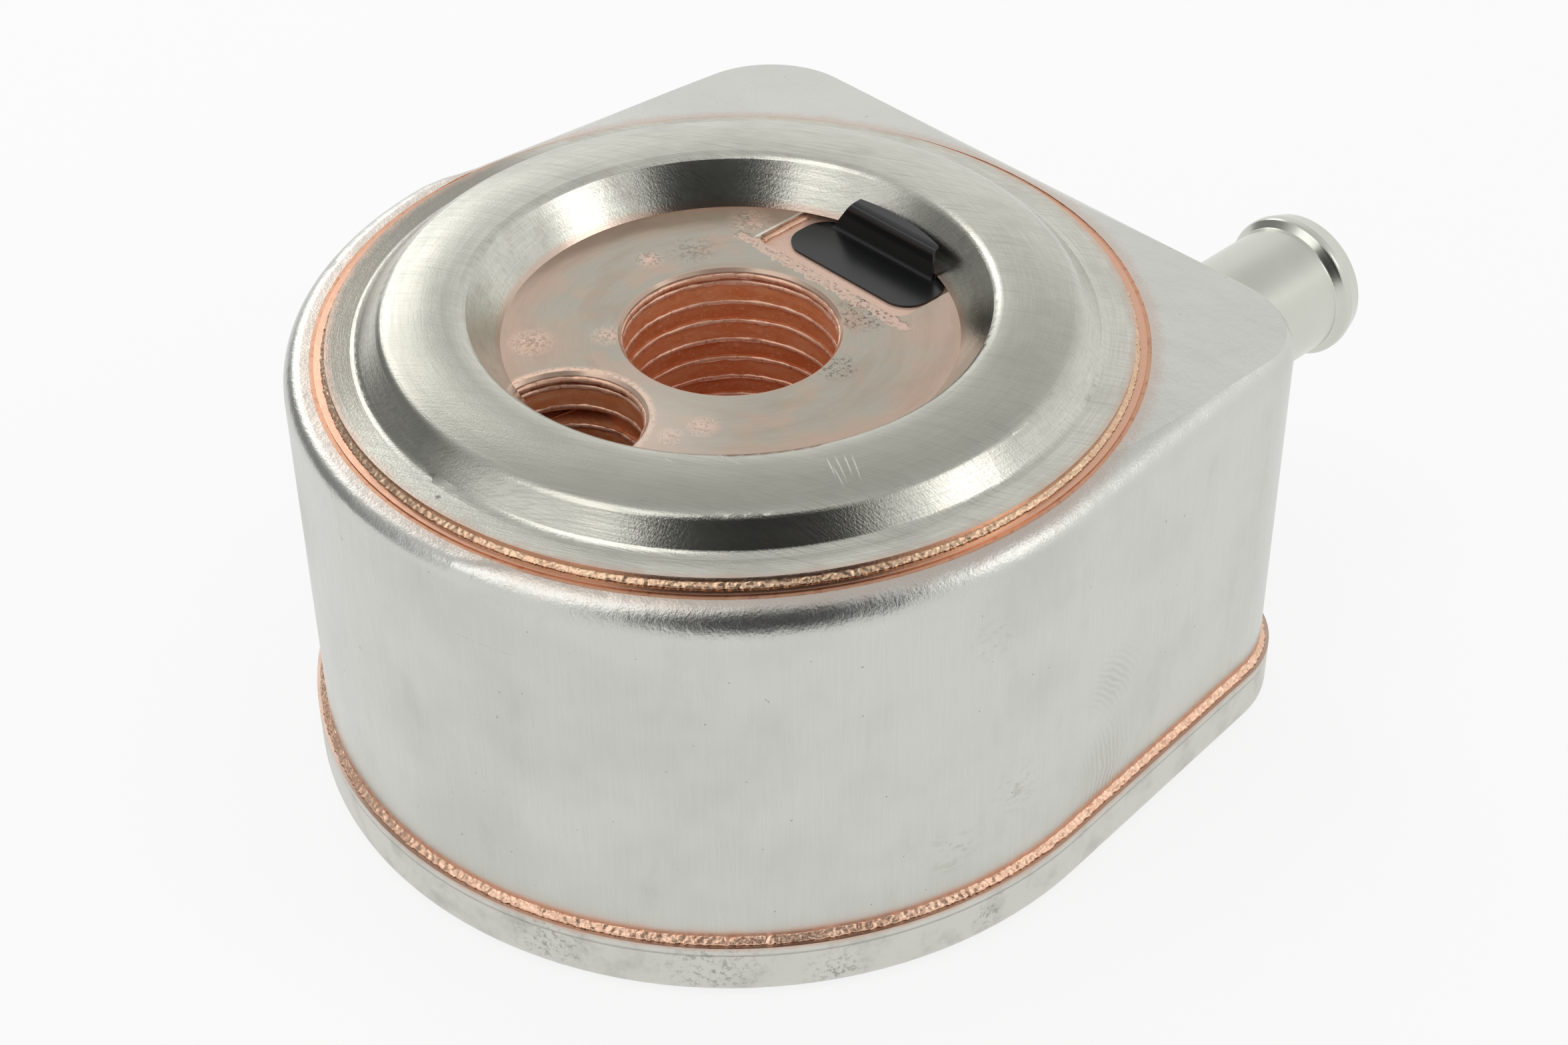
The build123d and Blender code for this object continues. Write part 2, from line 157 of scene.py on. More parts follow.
class Nodes:
    """Node tree, with short calls for the steps that a pattern needs."""

    def __init__(self, tree):
        self.tree = tree

    def feed(self, socket, value):
        """Links a socket to another node, or sets it to a plain value."""
        if isinstance(value, bpy.types.NodeSocket):
            self.tree.links.new(value, socket)
        else:
            socket.default_value = value

    def node(self, kind, inputs=()):
        """New node, with its inputs as pairs of a name or number and a value."""
        made = self.tree.nodes.new(kind)
        for socket, value in inputs:
            self.feed(made.inputs[socket], value)
        return made

    def calc(self, operation, *values):
        """One step of arithmetic."""
        made = self.node("ShaderNodeMath")
        made.operation = operation
        for socket, value in zip(made.inputs, values):
            self.feed(socket, value)
        return made.outputs[0]

    def vector(self, operation, first, second):
        """One step of arithmetic between vectors."""
        made = self.node("ShaderNodeVectorMath")
        made.operation = operation
        self.feed(made.inputs[0], first)
        self.feed(made.inputs[1], second)
        return made.outputs

    def times(self, first, second):
        return self.calc("MULTIPLY", first, second)

    def plus(self, first, second):
        return self.calc("ADD", first, second)

    def step(self, value, start, end, low=0.0, high=1.0):
        """Smooth change from low at start to high at end."""
        made = self.node("ShaderNodeMapRange", [("Value", value)])
        made.interpolation_type = "SMOOTHSTEP"
        made.inputs["From Min"].default_value = start
        made.inputs["From Max"].default_value = end
        made.inputs["To Min"].default_value = low
        made.inputs["To Max"].default_value = high
        return made.outputs["Result"]


# Camera and light

def place_camera():
    """Camera at the photo's viewing angle."""
    lens = bpy.data.cameras.new("camera")
    lens.sensor_width = 36.0
    lens.lens = LENS
    lens.clip_start = 0.01
    lens.clip_end = 20.0
    camera = bpy.data.objects.new("camera", lens)
    bpy.context.scene.collection.objects.link(camera)
    turn = Matrix((CAMERA_RIGHT, CAMERA_UP, CAMERA_BACK)).transposed().to_4x4()
    camera.matrix_world = Matrix.Translation(CAMERA_PLACE) @ turn
    bpy.context.scene.camera = camera
    return camera


def soft_box(name, azimuth, elevation, distance, width, power):
    """Square studio lamp that points at the part."""
    lamp = bpy.data.lights.new(name, "AREA")
    lamp.shape = "RECTANGLE"
    lamp.size = width
    lamp.size_y = width
    lamp.energy = power
    box = bpy.data.objects.new(name, lamp)
    bpy.context.scene.collection.objects.link(box)
    aim = Vector(LAMP_AIM)
    place = aim + heading(azimuth, elevation) * distance
    turn = (aim - place).to_track_quat("-Z", "Y").to_matrix().to_4x4()
    box.matrix_world = Matrix.Translation(place) @ turn


def light_world():
    """White backdrop; metal sees it darker overhead and behind a shade on its left."""
    world = bpy.data.worlds.new("studio")
    bpy.context.scene.world = world
    world.use_nodes = True
    n = Nodes(world.node_tree)
    way = n.node("ShaderNodeTexCoord").outputs["Generated"]
    path = n.node("ShaderNodeLightPath").outputs
    up = n.vector("DOT_PRODUCT", way, heading(0, 90))["Value"]
    left = n.vector("DOT_PRODUCT", way, heading(-158, 10))["Value"]
    overhead = n.step(up, 0.50, 0.78, 1.0, 0.72)
    shade = n.step(left, 0.72, 0.95, 1.0, 0.25)
    mirrored = n.times(n.times(overhead, shade), MIRRORED)
    glossy = n.calc("MAXIMUM", path["Is Glossy Ray"], path["Is Transmission Ray"])
    level = n.step(path["Is Camera Ray"], 0, 1, FILL, BACKDROP)
    mixed = n.node("ShaderNodeMix", [(0, glossy), (2, level), (3, mirrored)])
    backdrop = n.tree.nodes["Background"]
    n.feed(backdrop.inputs["Strength"], mixed.outputs[0])
    n.feed(backdrop.inputs["Color"], (1, 1, 1, 1))


def lay_floor():
    """White floor that keeps a soft contact shadow and can be looked through from below."""
    bpy.ops.mesh.primitive_plane_add(size=8.0, location=(0, 0, cad_box[0][2] - 0.0001))
    floor = bpy.context.object
    floor.name = "floor"
    sheet = bpy.data.materials.new("white floor")
    sheet.use_nodes = True
    sheet.node_tree.nodes.clear()
    n = Nodes(sheet.node_tree)
    path = n.node("ShaderNodeLightPath").outputs
    seen = n.calc("MAXIMUM", path["Is Camera Ray"], path["Is Glossy Ray"])
    white = n.node("ShaderNodeBsdfDiffuse", [("Color", (0.9, 0.9, 0.9, 1))]).outputs[0]
    glow = n.node("ShaderNodeEmission").outputs[0]
    lit = n.node("ShaderNodeMixShader", [(0, n.times(seen, 0.8)), (1, white), (2, glow)]).outputs[0]
    below = n.node("ShaderNodeNewGeometry").outputs["Backfacing"]
    clear = n.node("ShaderNodeBsdfTransparent").outputs[0]
    either = n.node("ShaderNodeMixShader", [(0, below), (1, lit), (2, clear)]).outputs[0]
    n.node("ShaderNodeOutputMaterial", [("Surface", either)])
    floor.data.materials.append(sheet)


def hang_dark_card(camera):
    """Dark studio card round the lens and to its right, which only reflections see."""
    bpy.ops.mesh.primitive_circle_add(vertices=64, radius=0.19, fill_type="NGON")
    card = bpy.context.object
    card.name = "dark_card"
    card.matrix_world = camera.matrix_world @ Matrix.Translation((0.045, 0, 0.02))
    bpy.ops.object.transform_apply(location=True, rotation=True, scale=True)
    sheet = bpy.data.materials.new("dark card")
    sheet.use_nodes = True
    shader = sheet.node_tree.nodes["Principled BSDF"]
    shader.inputs["Base Color"].default_value = (0.01, 0.01, 0.01, 1)
    shader.inputs["Roughness"].default_value = 0.9
    card.data.materials.append(sheet)
    card.visible_camera = False
    card.visible_diffuse = False
    card.visible_shadow = False


# Materials

def linear(red, green, blue):
    """Colour given as the eye reads it, 0 to 255, in the shader's linear values."""
    return tuple((c / 255) ** 2.2 for c in (red, green, blue)) + (1.0,)


STEEL = linear(211, 212, 205)
STEEL_DARK = linear(162, 163, 156)
STEEL_PALE = linear(225, 226, 217)
DIRT = linear(150, 148, 136)
COPPER_BRIGHT = linear(243, 206, 182)
COPPER = linear(216, 168, 142)
COPPER_HAZE = linear(203, 172, 154)
COPPER_TIGHT = linear(216, 160, 130)
COPPER_DEEP = linear(222, 138, 90)


class Finish(Nodes):
    """One material, patterned over the part's own coordinates in millimetres."""

    def __init__(self, name, metal=1.0):
        self.sheet = bpy.data.materials.new(name)
        self.sheet.use_nodes = True
        super().__init__(self.sheet.node_tree)
        self.shader = self.tree.nodes["Principled BSDF"]
        self.shader.inputs["Metallic"].default_value = metal
        self.place = self.node("ShaderNodeTexCoord").outputs["Object"]
        split = self.node("ShaderNodeSeparateXYZ", [("Vector", self.place)])
        self.x, self.y, self.z = (self.times(split.outputs[i], 1000) for i in range(3))

    def wear(self, **sockets):
        """Feeds the shader and hands over the material."""
        for name, value in sockets.items():
            self.feed(self.shader.inputs[name.replace("_", " ")], value)
        return self.sheet

    def distance(self, centre):
        """Distance from a place."""
        centre = tuple(c * MM for c in centre)
        return self.times(self.vector("DISTANCE", self.place, centre)["Value"], 1000)

    def length(self, x, y):
        """Length of a vector in the plan."""
        return self.calc("SQRT", self.plus(self.times(x, x), self.times(y, y)))

    def radius(self):
        """Distance from the bore's axis."""
        return self.length(self.x, self.y)

    def away(self, x, y, radius):
        """Distance outwards from a circle in the plan."""
        return self.plus(self.length(self.plus(self.x, -x), self.plus(self.y, -y)), -radius)

    def band(self, value, middle, half):
        """Soft hump of 1 at middle that falls to 0 at half to either side."""
        return self.step(self.calc("ABSOLUTE", self.plus(value, -middle)), half, 0.0)

    def spot(self, x, y, z, half):
        """Soft ball of 1 round a place."""
        return self.step(self.distance((x, y, z)), half, 0.0)

    def spots(self, places):
        """Several soft balls."""
        return self.most([self.spot(*place) for place in places])

    def most(self, masks):
        """Union of several masks."""
        union = masks[0]
        for mask in masks[1:]:
            union = self.calc("MAXIMUM", union, mask)
        return union

    def ripples(self, centre, pitch):
        """Fine wrinkles in rings round a place, such as a die leaves."""
        run = self.plus(self.distance(centre), self.times(self.grain(3), 1.2))
        wave = self.calc("SINE", self.times(run, 2 * math.pi / pitch))
        return self.plus(self.times(wave, 0.5), 0.5)

    def scratch(self, start, end, half):
        """Straight scratch between two places of the plan, fading to its ends."""
        run_x, run_y = end[0] - start[0], end[1] - start[1]
        length = math.hypot(run_x, run_y)
        run_x, run_y = run_x / length, run_y / length
        along = self.calc("MULTIPLY_ADD", self.x, run_x, self.times(self.y, run_y))
        across = self.calc("MULTIPLY_ADD", self.x, run_y, self.times(self.y, -run_x))
        along = self.plus(along, -(start[0] * run_x + start[1] * run_y))
        across = self.plus(across, start[1] * run_x - start[0] * run_y)
        rise, fall = self.step(along, 0, 0.4 * length), self.step(along, length, 0.6 * length)
        return self.times(self.times(rise, fall), self.step(self.calc("ABSOLUTE", across), half, 0.0))

    def slanted(self, angle):
        """Coordinates turned about the bore's axis by an angle in degrees."""
        turn = self.node("ShaderNodeMapping", [("Vector", self.place)])
        turn.inputs["Rotation"].default_value = (0, 0, math.radians(angle))
        turn.inputs["Scale"].default_value = (1000, 1000, 1000)
        return turn.outputs[0]

    def round_place(self, drag=1.0):
        """Coordinates that follow circles about the bore: radius, height and slow steps round."""
        reach = self.radius()
        pack = self.node("ShaderNodeCombineXYZ", [(0, reach)])
        round_x = self.times(self.calc("DIVIDE", self.x, reach), drag)
        round_y = self.times(self.calc("DIVIDE", self.y, reach), drag)
        self.feed(pack.inputs[1], self.plus(self.z, round_x))
        self.feed(pack.inputs[2], round_y)
        return pack.outputs[0]

    def grain(self, size, detail=3.0, rough=0.55, along=(1, 1, 1), at=None, shift=0.0):
        """Noise of a given feature size, drawn out along the axes."""
        unit = 1.0 if at else 1000.0
        spread = tuple(unit / (size * a) for a in along)
        spread = self.vector("MULTIPLY", at or self.place, spread)[0]
        moved = self.vector("ADD", spread, (shift, shift * 0.7, shift * 1.3))[0]
        made = self.node("ShaderNodeTexNoise", [("Vector", moved)])
        made.inputs["Scale"].default_value = 1.0
        made.inputs["Detail"].default_value = detail
        made.inputs["Roughness"].default_value = rough
        return made.outputs["Fac"]

    def mix(self, share, first, second):
        """Blend of two colours."""
        made = self.node("ShaderNodeMix")
        made.data_type = "RGBA"
        for socket, value in (("Factor", share), (6, first), (7, second)):
            self.feed(made.inputs[socket], value)
        return made.outputs[2]

    def lay(self, colour, mask, share, paint):
        """Colour with a paint laid over it where a mask is, up to a given share."""
        return self.mix(self.times(mask, share), colour, paint)

    def bump(self, height, depth, strength, under=None):
        """Surface relief of a given depth, over the relief that lies under it."""
        made = self.node("ShaderNodeBump", [("Height", height)])
        made.inputs["Strength"].default_value = strength
        made.inputs["Distance"].default_value = depth * MM
        if under:
            self.feed(made.inputs["Normal"], under)
        return made.outputs["Normal"]


def can_finish():
    """Satin drawn steel: upright grain, orange peel on the shoulder, copper haze by the seams."""
    f = Finish("satin can steel")
    grain = f.grain(0.16, detail=4, along=(1, 1, 50))
    peel = f.grain(0.32, detail=3, rough=0.6)
    waves = f.grain(3.6, detail=2)
    cloud = f.grain(18, detail=3)
    smear = f.grain(5, detail=4, along=(1, 1, 2.5), shift=4.0)
    wobble = f.times(f.plus(f.grain(2.5, detail=4), -0.5), 2.0)
    shoulder = f.step(f.z, 46.0, 50.0)
    on_top = f.step(f.z, 50.8, 52.2)
    on_land = f.step(f.radius(), *LAND_EDGE)

    colour = f.lay(STEEL, f.step(cloud, 0.35, 0.7), 0.5, linear(190, 191, 184))
    colour = f.lay(colour, grain, 0.24, STEEL_DARK)
    colour = f.lay(colour, f.step(smear, 0.55, 0.8), 0.25, linear(170, 172, 164))

    low_haze = f.step(f.plus(f.z, wobble), 10.6, 7.6)
    colour = f.lay(colour, low_haze, 0.45, COPPER_HAZE)
    seam = f.step(f.plus(f.z, f.times(wobble, 0.35)), 9.4, 8.3)
    colour = f.lay(colour, seam, 0.6, COPPER_TIGHT)
    colour = f.lay(colour, on_top, 0.5, linear(212, 212, 207))
    reach = f.plus(f.radius(), f.times(wobble, 0.6))
    speckled = f.plus(reach, f.times(f.plus(peel, -0.5), 3.0))
    ring_haze = f.times(on_top, f.step(speckled, 48.9, 47.2))
    colour = f.lay(colour, ring_haze, 0.42, linear(196, 166, 148))
    colour = f.lay(colour, f.times(on_top, on_land), 0.9, linear(226, 190, 170))

    stains = f.most([f.times(f.spot(*place), 0.6) for place in CAN_STAINS])
    colour = f.lay(colour, stains, smear, linear(150, 140, 128))
    speckle = f.step(f.grain(0.9, detail=4, rough=0.7, along=(1, 2, 1), shift=3.0), 0.50, 0.62)
    colour = f.lay(colour, f.times(f.spots(CAN_SMUDGES), speckle), 0.35, DIRT)
    ripples = f.times(f.ripples(RIPPLE_CENTRE, RIPPLE_PITCH), f.spots(CAN_RIPPLES))
    colour = f.lay(colour, ripples, 0.26, DIRT)
    pits = f.step(f.grain(0.9, detail=2, shift=9.0), 0.74, 0.78)
    colour = f.lay(colour, pits, 0.6, linear(120, 118, 110))

    normal = f.bump(grain, 0.004, 0.5)
    normal = f.bump(ripples, 0.05, 0.9, under=normal)
    peeled = f.times(peel, f.plus(f.times(shoulder, 0.8), 0.2))
    normal = f.bump(peeled, 0.042, 0.9, under=normal)
    normal = f.bump(f.times(waves, shoulder), 0.14, 0.8, under=normal)
    sunk = f.times(f.step(f.z, 52.5, 52.4), f.times(f.step(f.z, 52.2, 52.3), on_land))
    return f.wear(
        Base_Color=colour,
        Metallic=f.plus(f.times(sunk, -0.65), 1.0),
        Roughness=f.plus(f.times(grain, 0.12), 0.23),
        Normal=normal,
    )


def pan_finish():
    """Duller pressed steel, stained where the furnace dirtied it."""
    f = Finish("satin pan steel")
    cloud = f.grain(5, detail=5, rough=0.65)
    fine = f.grain(0.3, detail=3)
    blots = f.grain(0.8, detail=5, rough=0.75, shift=6.0)
    colour = f.mix(f.step(cloud, 0.45, 0.75), linear(208, 207, 199), linear(186, 185, 177))
    stain = f.times(f.spots(PAN_STAINS), f.step(blots, 0.50, 0.60))
    colour = f.lay(colour, stain, 0.65, linear(128, 129, 120))
    colour = f.lay(colour, f.step(blots, 0.60, 0.68), 0.18, linear(150, 150, 142))
    lip = f.band(f.z, 6.3, 0.22)
    colour = f.lay(colour, lip, 0.5, linear(150, 148, 140))
    haze = f.step(f.plus(f.z, f.times(f.grain(2), 0.8)), 7.1, 7.8)
    colour = f.lay(colour, haze, 0.8, COPPER_HAZE)
    normal = f.bump(fine, 0.010, 0.6)
    normal = f.bump(lip, 0.10, 0.6, under=normal)
    return f.wear(Base_Color=colour, Roughness=f.plus(f.times(cloud, 0.15), 0.28), Normal=normal)


def seat_finish():
    """Satin ring turned in circles, scuffed across, with a copper haze at its edge."""
    f = Finish("turned seat steel")
    lines = f.grain(0.14, detail=3, rough=0.6, at=f.round_place())
    wide = f.grain(0.9, detail=3, at=f.round_place(), shift=3.0)
    scuffs = f.grain(0.16, detail=3, along=(50, 1, 4), at=f.slanted(-28))
    peel = f.grain(0.28, detail=3, rough=0.6)
    cloud = f.grain(8, detail=4, rough=0.6)
    reach = f.radius()
    crest = f.band(reach, 34.0, 6.5)
    throat = f.step(reach, 31.0, 28.6)
    outside = f.step(reach, 29.0, 32.0)

    turned = f.step(lines, 0.3, 0.7)
    colour = f.lay(linear(214, 213, 202), turned, 0.30, linear(160, 159, 148))
    colour = f.lay(colour, f.step(scuffs, 0.45, 0.70), 0.42, linear(158, 159, 150))
    colour = f.lay(colour, f.step(cloud, 0.4, 0.75), 0.45, linear(172, 174, 166))
    # Painted shade: the crest is laid darker over its front and right half.
    crest_painted_shade = f.times(f.step(reach, 29.5, 32.0), f.step(reach, 40.5, 37.5))
    crest_painted_shade = f.times(crest_painted_shade, f.step(f.calc("SUBTRACT", f.x, f.y), -30, 20))
    colour = f.lay(colour, crest_painted_shade, 0.6, linear(152, 151, 141))
    patches = f.times(throat, f.step(f.grain(3, detail=4), 0.5, 0.7))
    colour = f.lay(colour, patches, 0.3, linear(160, 148, 134))
    # Painted shade: the outer flat band on the left is laid darker, in place of a dark reflection.
    corner = f.times(f.step(f.x, -4, -24), f.step(f.y, 14, -2))
    band_painted_shade = f.times(corner, f.step(reach, 41.5, 42.5))
    colour = f.lay(colour, band_painted_shade, 0.8, linear(128, 123, 114))

    wander = f.times(f.plus(f.grain(2, detail=4), -0.5), 1.6)
    haze = f.step(f.plus(reach, wander), 44.0, 45.3)
    colour = f.lay(colour, haze, 0.6, COPPER_HAZE)
    inner_foot = f.times(f.step(f.z, 54.4, 53.5), f.step(reach, 30, 28))
    colour = f.lay(colour, inner_foot, 0.7, COPPER_HAZE)
    worn = f.most([f.scratch(start, end, 0.10) for start, end in SEAT_SCRATCHES])
    colour = f.lay(colour, worn, 0.7, STEEL_PALE)
    colour = f.mix(f.spots(SEAT_PITS), colour, linear(70, 68, 62))

    burnished = f.most([throat, f.step(reach, 37.0, 39.5)])
    rough = f.plus(f.times(lines, 0.10), f.plus(f.times(burnished, -0.07), 0.22))
    rough = f.plus(f.times(crest, 0.08), rough)
    normal = f.bump(f.times(lines, outside), 0.012, 0.6)
    normal = f.bump(wide, 0.024, 0.40, under=normal)
    normal = f.bump(f.times(scuffs, outside), 0.016, 0.7, under=normal)
    normal = f.bump(peel, 0.022, 0.8, under=normal)
    normal = f.bump(worn, 0.03, 0.8, under=normal)
    return f.wear(Base_Color=colour, Roughness=rough, Normal=normal)


def recess_finish():
    """Sunk plate, turned in circles and washed with copper where the braze ran."""
    f = Finish("copper washed plate steel")
    lines = f.grain(0.22, detail=3, rough=0.6, at=f.round_place())
    slow = f.grain(2.4, detail=3, rough=0.5, at=f.round_place(5.0), shift=2.0)
    cloud = f.grain(6, detail=4, rough=0.6, shift=11.0)
    fine = f.grain(0.5, detail=4, rough=0.65)
    reach = f.radius()
    port_x, port_y, port_radius = OUTLET

    wash = f.most([
        f.step(f.plus(reach, f.times(f.plus(cloud, -0.5), 10)), 19.0, 25.0),
        f.spot(-13, -18, PLATE_Z, 9),
        f.spot(16, 16, PLATE_Z, 8),
        f.times(f.step(cloud, 0.5, 0.66), 0.7),
    ])
    colour = f.lay(linear(176, 172, 158), wash, 0.75, linear(198, 168, 150))
    colour = f.lay(colour, f.step(slow, 0.45, 0.7), 0.34, linear(170, 146, 128))
    colour = f.lay(colour, f.step(lines, 0.3, 0.7), 0.12, linear(160, 146, 132))

    wander = f.times(f.plus(f.grain(1.2, detail=5), -0.5), 2.4)
    near_edge = f.band(f.plus(f.y, wander), 14.2, 1.2)
    by_window = f.times(near_edge, f.step(f.calc("ABSOLUTE", f.x), 15.5, 11.5))
    colour = f.lay(colour, f.step(by_window, 0.10, 0.5), 0.75, linear(224, 192, 174))
    soot = f.step(f.grain(0.6, detail=6, rough=0.8, shift=7.0), 0.50, 0.60)
    dirty = f.most([
        f.times(by_window, 0.35),
        f.spot(8.1, 12.6, PLATE_Z, 5.0),
        f.times(f.spot(13.7, 3.4, PLATE_Z, 4.0), 0.6),
    ])
    colour = f.lay(colour, f.times(soot, f.step(dirty, 0.08, 0.45)), 0.9, linear(104, 82, 74))
    crumbs = f.step(f.plus(fine, f.times(cloud, 0.4)), 0.62, 0.74)
    flakes = f.times(f.spots(PLATE_FLAKES), crumbs)
    colour = f.lay(colour, flakes, 0.8, linear(228, 196, 178))
    brown = f.times(f.spot(-15, 8, PLATE_Z, 4), f.step(fine, 0.45, 0.6))
    colour = f.lay(colour, brown, 0.6, linear(126, 112, 96))

    # Painted highlight: a pale line along the window's left cut edge on the plate's upper face.
    upper_edge = f.times(f.step(f.y, 14.6, 15.4), f.step(f.z, 53.2, 53.3))
    cut_edge_highlight = f.times(f.band(f.x, -12.0, 0.3), upper_edge)
    colour = f.mix(cut_edge_highlight, colour, linear(238, 232, 222))
    port_rim = f.band(f.away(port_x, port_y, port_radius + 0.4), 0.2, 0.8)
    colour = f.mix(f.times(port_rim, f.step(fine, 0.35, 0.5)), colour, COPPER_BRIGHT)
    colour = f.mix(f.step(reach, 45.2, 46.0), colour, COPPER)
    # Painted highlight: a lighter patch laid over the plate's front.
    colour = f.lay(colour, f.spot(6, -22, PLATE_Z, 17), 0.6, linear(224, 208, 194))
    port_wall = f.step(f.away(port_x, port_y, port_radius), 0.6, 0.2)
    rims = f.most([f.step(reach, 12.95, 12.6), port_wall])
    colour = f.lay(colour, rims, 0.7, linear(196, 166, 146))

    normal = f.bump(lines, 0.004, 0.4)
    normal = f.bump(cloud, 0.10, 0.4, under=normal)
    normal = f.bump(f.most([flakes, f.step(by_window, 0.15, 0.4)]), 0.06, 0.7, under=normal)
    return f.wear(
        Base_Color=colour,
        Metallic=f.plus(f.times(rims, -0.6), 1.0),
        Roughness=f.plus(f.times(lines, 0.08), 0.16),
        Normal=normal,
    )


def copper_finish(name, size, depth, pale, dark=COPPER, metal=0.9):
    """Copper braze of a given grain size."""
    f = Finish(name, metal)
    lumps = f.grain(size, detail=4, rough=0.6)
    cloud = f.grain(4, detail=3, shift=5.0)
    colour = f.lay(f.mix(cloud, dark, pale), f.step(lumps, 0.5, 0.3), 0.6, linear(168, 108, 84))
    rough = f.plus(f.times(lumps, 0.2), 0.2)
    return f.wear(Base_Color=colour, Roughness=rough, Normal=f.bump(lumps, depth, 0.8))


def bore_finish(name, deep, edge):
    """Copper washed stack plates that line the bore and the ports."""
    f = Finish(name, metal=0.25)
    cloud = f.grain(2.5, detail=4, rough=0.6, along=(2, 2, 0.6))
    fine = f.grain(0.3, detail=4, rough=0.65, along=(2, 2, 1))
    colour = f.mix(f.step(cloud, 0.35, 0.7), deep, edge)
    colour = f.lay(colour, f.step(fine, 0.54, 0.66), 0.6, linear(238, 184, 150))
    rough = f.plus(f.times(fine, 0.25), 0.25)
    return f.wear(Base_Color=colour, Roughness=rough, Normal=f.bump(fine, 0.05, 0.7))


def flap_finish():
    """Satin black spring steel, with a highlight painted along the crest of its upper bend."""
    f = Finish("satin black leaf", metal=0.0)
    fine = f.grain(0.4, detail=4)
    cloud = f.grain(3, detail=4, along=(3, 1, 1))
    specks = f.step(f.grain(0.35, detail=2, shift=8.0), 0.77, 0.80)
    colour = f.mix(cloud, linear(16, 17, 17), linear(30, 31, 31))
    colour = f.mix(specks, colour, linear(150, 140, 130))
    # Painted highlight: a pale line along the crest of the upper bend.
    edge = f.times(f.band(f.y, 24.15, 0.28), f.step(f.z, 56.5, 56.8))
    colour = f.lay(colour, edge, 0.8, linear(170, 170, 168))
    fold = f.times(f.band(f.y, 24.0, 1.0), f.step(f.z, 55.4, 54.6))
    rough = f.plus(f.times(fold, 0.35), f.plus(f.times(cloud, 0.12), 0.20))
    return f.wear(
        Base_Color=colour, Specular_IOR_Level=0.6, Roughness=rough, Normal=f.bump(fine, 0.006, 0.4)
    )


def stub_finish():
    """Satin tube, grained round its axis."""
    f = Finish("satin tube steel")
    grain = f.grain(0.2, detail=3, along=(40, 1, 40))
    cloud = f.grain(6, detail=3)
    colour = f.lay(linear(210, 211, 201), cloud, 0.5, linear(189, 190, 180))
    rough = f.plus(f.times(grain, 0.10), 0.20)
    return f.wear(Base_Color=colour, Roughness=rough, Normal=f.bump(grain, 0.004, 0.3))


def seal_finish():
    """Matt black rubber."""
    f = Finish("black seal rubber", metal=0.0)
    fine = f.grain(0.3, detail=3)
    return f.wear(Base_Color=linear(26, 26, 27), Roughness=0.7, Normal=f.bump(fine, 0.01, 0.4))


def dress_nodes():
    """Gives every CAD node the finish of its slot."""
    deep = bore_finish("deep copper plate", COPPER_DEEP, linear(232, 164, 122))
    ring = bore_finish("deep copper ring", linear(210, 124, 78), linear(222, 148, 106))
    finishes = {
        "can_steel": can_finish(),
        "pan_steel": pan_finish(),
        "seat_steel": seat_finish(),
        "recess_steel": recess_finish(),
        "flap_steel": flap_finish(),
        "seat_copper": copper_finish(
            "grained copper", 0.35, 0.04, linear(232, 206, 176), linear(220, 178, 146)
        ),
        "land_copper": copper_finish(
            "smooth copper", 1.2, 0.03, linear(210, 164, 136), linear(196, 146, 118)
        ),
        "rim_copper": copper_finish(
            "rough copper", 0.40, 0.06, linear(250, 214, 188), linear(236, 188, 158), metal=0.8
        ),
        "stub_copper": copper_finish("smooth stub copper", 0.9, 0.03, linear(222, 178, 156)),
        "stub_steel": stub_finish(),
        "spacer_steel": ring,
        "tray_steel": deep,
        "lid_steel": deep,
        "ring_steel": ring,
        "fin_steel": ring,
        "seal_rubber": seal_finish(),
    }
    slot_of = {entry["node"]: entry["material_slot"] for entry in frame["record"]["subparts"]}
    for name, piece in nodes_of_part.items():
        piece.data.materials.clear()
        piece.data.materials.append(finishes[slot_of[name]])
        smooth(piece)
    return finishes


# Copper braze that the furnace left standing

def only(*pieces):
    """Makes these pieces the ones that the next operator acts on, the first of them active."""
    bpy.ops.object.select_all(action="DESELECT")
    for piece in pieces:
        piece.select_set(True)
    bpy.context.view_layer.objects.active = pieces[0]


def smooth(piece, angle=32):
    """Shades a piece smooth except over its sharp edges."""
    only(piece)
    bpy.ops.object.shade_smooth_by_angle(angle=math.radians(angle))


def copy_of(piece):
    """Copy of a piece with a mesh of its own."""
    copy = piece.copy()
    copy.data = piece.data.copy()
    bpy.context.scene.collection.objects.link(copy)
    return copy


def roughen(piece, size, depth, middle=0.5):
    """Lumps of a given size and depth in millimetres, worked into a piece's mesh."""
    lumps = bpy.data.textures.new(piece.name + " lumps", "CLOUDS")
    lumps.noise_scale = size * MM
    lumps.noise_depth = 2
    only(piece)
    push = piece.modifiers.new("lumps", "DISPLACE")
    push.texture = lumps
    push.texture_coords = "LOCAL"
    push.strength = depth * MM
    push.mid_level = middle
    bpy.ops.object.modifier_apply(modifier=push.name)
    return piece


def settle(piece, finish, node=None):
    """Gives a new piece its finish and its place in the frame, for a node where one is named."""
    piece.data.materials.clear()
    piece.data.materials.append(finish)
    smooth(piece, 60)
    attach(piece, "root")
    if node:
        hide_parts(node)


def beads(name, hole, heights, thickness, rise, size, depth):
    """Uneven rings of braze on a hole's wall at several heights, joined to one piece."""
    x, y, radius = hole
    bpy.ops.mesh.primitive_torus_add(
        major_segments=84, minor_segments=8,
        location=(x * MM, y * MM, heights[0] * MM),
        major_radius=(radius + thickness - rise) * MM, minor_radius=thickness * MM,
    )
    first = bpy.context.object
    first.name = name
    bpy.ops.object.transform_apply(location=True, rotation=True, scale=True)
    rings = [first]
    for height in heights[1:]:
        ring = copy_of(first)
        ring.location.z = (height - heights[0]) * MM
        rings.append(ring)
    only(*rings)
    bpy.ops.object.transform_apply(location=True, rotation=True, scale=True)
    bpy.ops.object.join()
    return roughen(first, size, depth)


